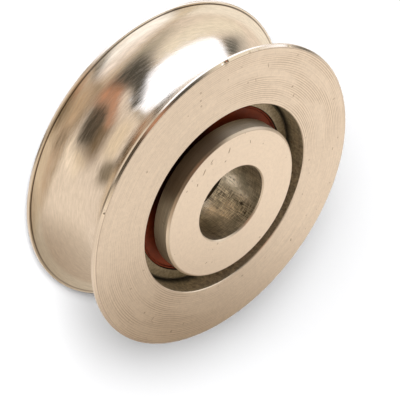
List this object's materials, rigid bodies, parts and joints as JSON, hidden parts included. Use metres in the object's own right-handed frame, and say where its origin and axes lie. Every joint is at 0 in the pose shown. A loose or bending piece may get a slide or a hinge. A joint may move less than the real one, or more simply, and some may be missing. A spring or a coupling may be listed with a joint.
{
  "type": "grooved pulley wheel",
  "caption": "Steel pulley wheel with a round groove, turning on a sealed ball bearing with flanged spacer bushings in its bore.",
  "frame": {"origin": "on the wheel's axis at mid width, which is the centre of the whole part", "axes": "+Z along the axis, out of the front side; X and Y are any two square radial directions"},
  "size_m": [0.0508, 0.0508, 0.018],
  "materials": {
    "wheel_steel": "turned faces with fine rings, groove polished",
    "bushing_steel": "turned, bore drilled and burnished",
    "bearing_steel": "ground",
    "ball_steel": "polished",
    "cage_steel": "pressed sheet",
    "insert_steel": "pressed sheet",
    "seal_rubber": "moulded, satin, red-brown"
  },
  "bodies": {
    "hub": {"bushing_front": "bushing_steel", "bushing_back": "bushing_steel", "bearing_inner_ring": "bearing_steel"},
    "wheel": {"wheel": "wheel_steel", "bearing_outer_ring": "bearing_steel", "seal_front": "seal_rubber", "seal_back": "seal_rubber", "seal_insert_front": "insert_steel", "seal_insert_back": "insert_steel"},
    "cage": {"cage_front": "cage_steel", "cage_back": "cage_steel", "cage_rivets": "cage_steel"},
    "ball_1": {"ball_1": "ball_steel"},
    "ball_2": {"ball_2": "ball_steel"},
    "ball_3": {"ball_3": "ball_steel"},
    "ball_4": {"ball_4": "ball_steel"},
    "ball_5": {"ball_5": "ball_steel"},
    "ball_6": {"ball_6": "ball_steel"},
    "ball_7": {"ball_7": "ball_steel"},
    "ball_8": {"ball_8": "ball_steel"},
    "ball_9": {"ball_9": "ball_steel"}
  },
  "joints": [
    {"name": "wheel_spin", "type": "hinge", "parent": "hub", "child": "wheel", "pos_m": [0, 0, 0], "axis": [0, 0, 1], "continuous": true},
    {"name": "cage_spin", "type": "hinge", "parent": "hub", "child": "cage", "pos_m": [0, 0, 0], "axis": [0, 0, 1], "continuous": true},
    {"name": "ball_1_spin", "type": "hinge", "parent": "cage", "child": "ball_1", "pos_m": [0.01175, 0, 0], "axis": [0, 0, 1], "continuous": true},
    {"name": "ball_2_spin", "type": "hinge", "parent": "cage", "child": "ball_2", "pos_m": [0.009, 0.00755, 0], "axis": [0, 0, 1], "continuous": true},
    {"name": "ball_3_spin", "type": "hinge", "parent": "cage", "child": "ball_3", "pos_m": [0.00204, 0.01157, 0], "axis": [0, 0, 1], "continuous": true},
    {"name": "ball_4_spin", "type": "hinge", "parent": "cage", "child": "ball_4", "pos_m": [-0.00588, 0.01018, 0], "axis": [0, 0, 1], "continuous": true},
    {"name": "ball_5_spin", "type": "hinge", "parent": "cage", "child": "ball_5", "pos_m": [-0.01104, 0.00402, 0], "axis": [0, 0, 1], "continuous": true},
    {"name": "ball_6_spin", "type": "hinge", "parent": "cage", "child": "ball_6", "pos_m": [-0.01104, -0.00402, 0], "axis": [0, 0, 1], "continuous": true},
    {"name": "ball_7_spin", "type": "hinge", "parent": "cage", "child": "ball_7", "pos_m": [-0.00588, -0.01018, 0], "axis": [0, 0, 1], "continuous": true},
    {"name": "ball_8_spin", "type": "hinge", "parent": "cage", "child": "ball_8", "pos_m": [0.00204, -0.01157, 0], "axis": [0, 0, 1], "continuous": true},
    {"name": "ball_9_spin", "type": "hinge", "parent": "cage", "child": "ball_9", "pos_m": [0.009, -0.00755, 0], "axis": [0, 0, 1], "continuous": true}
  ],
  "couplings": [
    {"joint": "cage_spin", "follows": "wheel_spin", "ratio": 0.60132},
    {"joint": "ball_1_spin", "follows": "wheel_spin", "ratio": 2.3661},
    {"joint": "ball_2_spin", "follows": "wheel_spin", "ratio": 2.3661},
    {"joint": "ball_3_spin", "follows": "wheel_spin", "ratio": 2.3661},
    {"joint": "ball_4_spin", "follows": "wheel_spin", "ratio": 2.3661},
    {"joint": "ball_5_spin", "follows": "wheel_spin", "ratio": 2.3661},
    {"joint": "ball_6_spin", "follows": "wheel_spin", "ratio": 2.3661},
    {"joint": "ball_7_spin", "follows": "wheel_spin", "ratio": 2.3661},
    {"joint": "ball_8_spin", "follows": "wheel_spin", "ratio": 2.3661},
    {"joint": "ball_9_spin", "follows": "wheel_spin", "ratio": 2.3661}
  ]
}
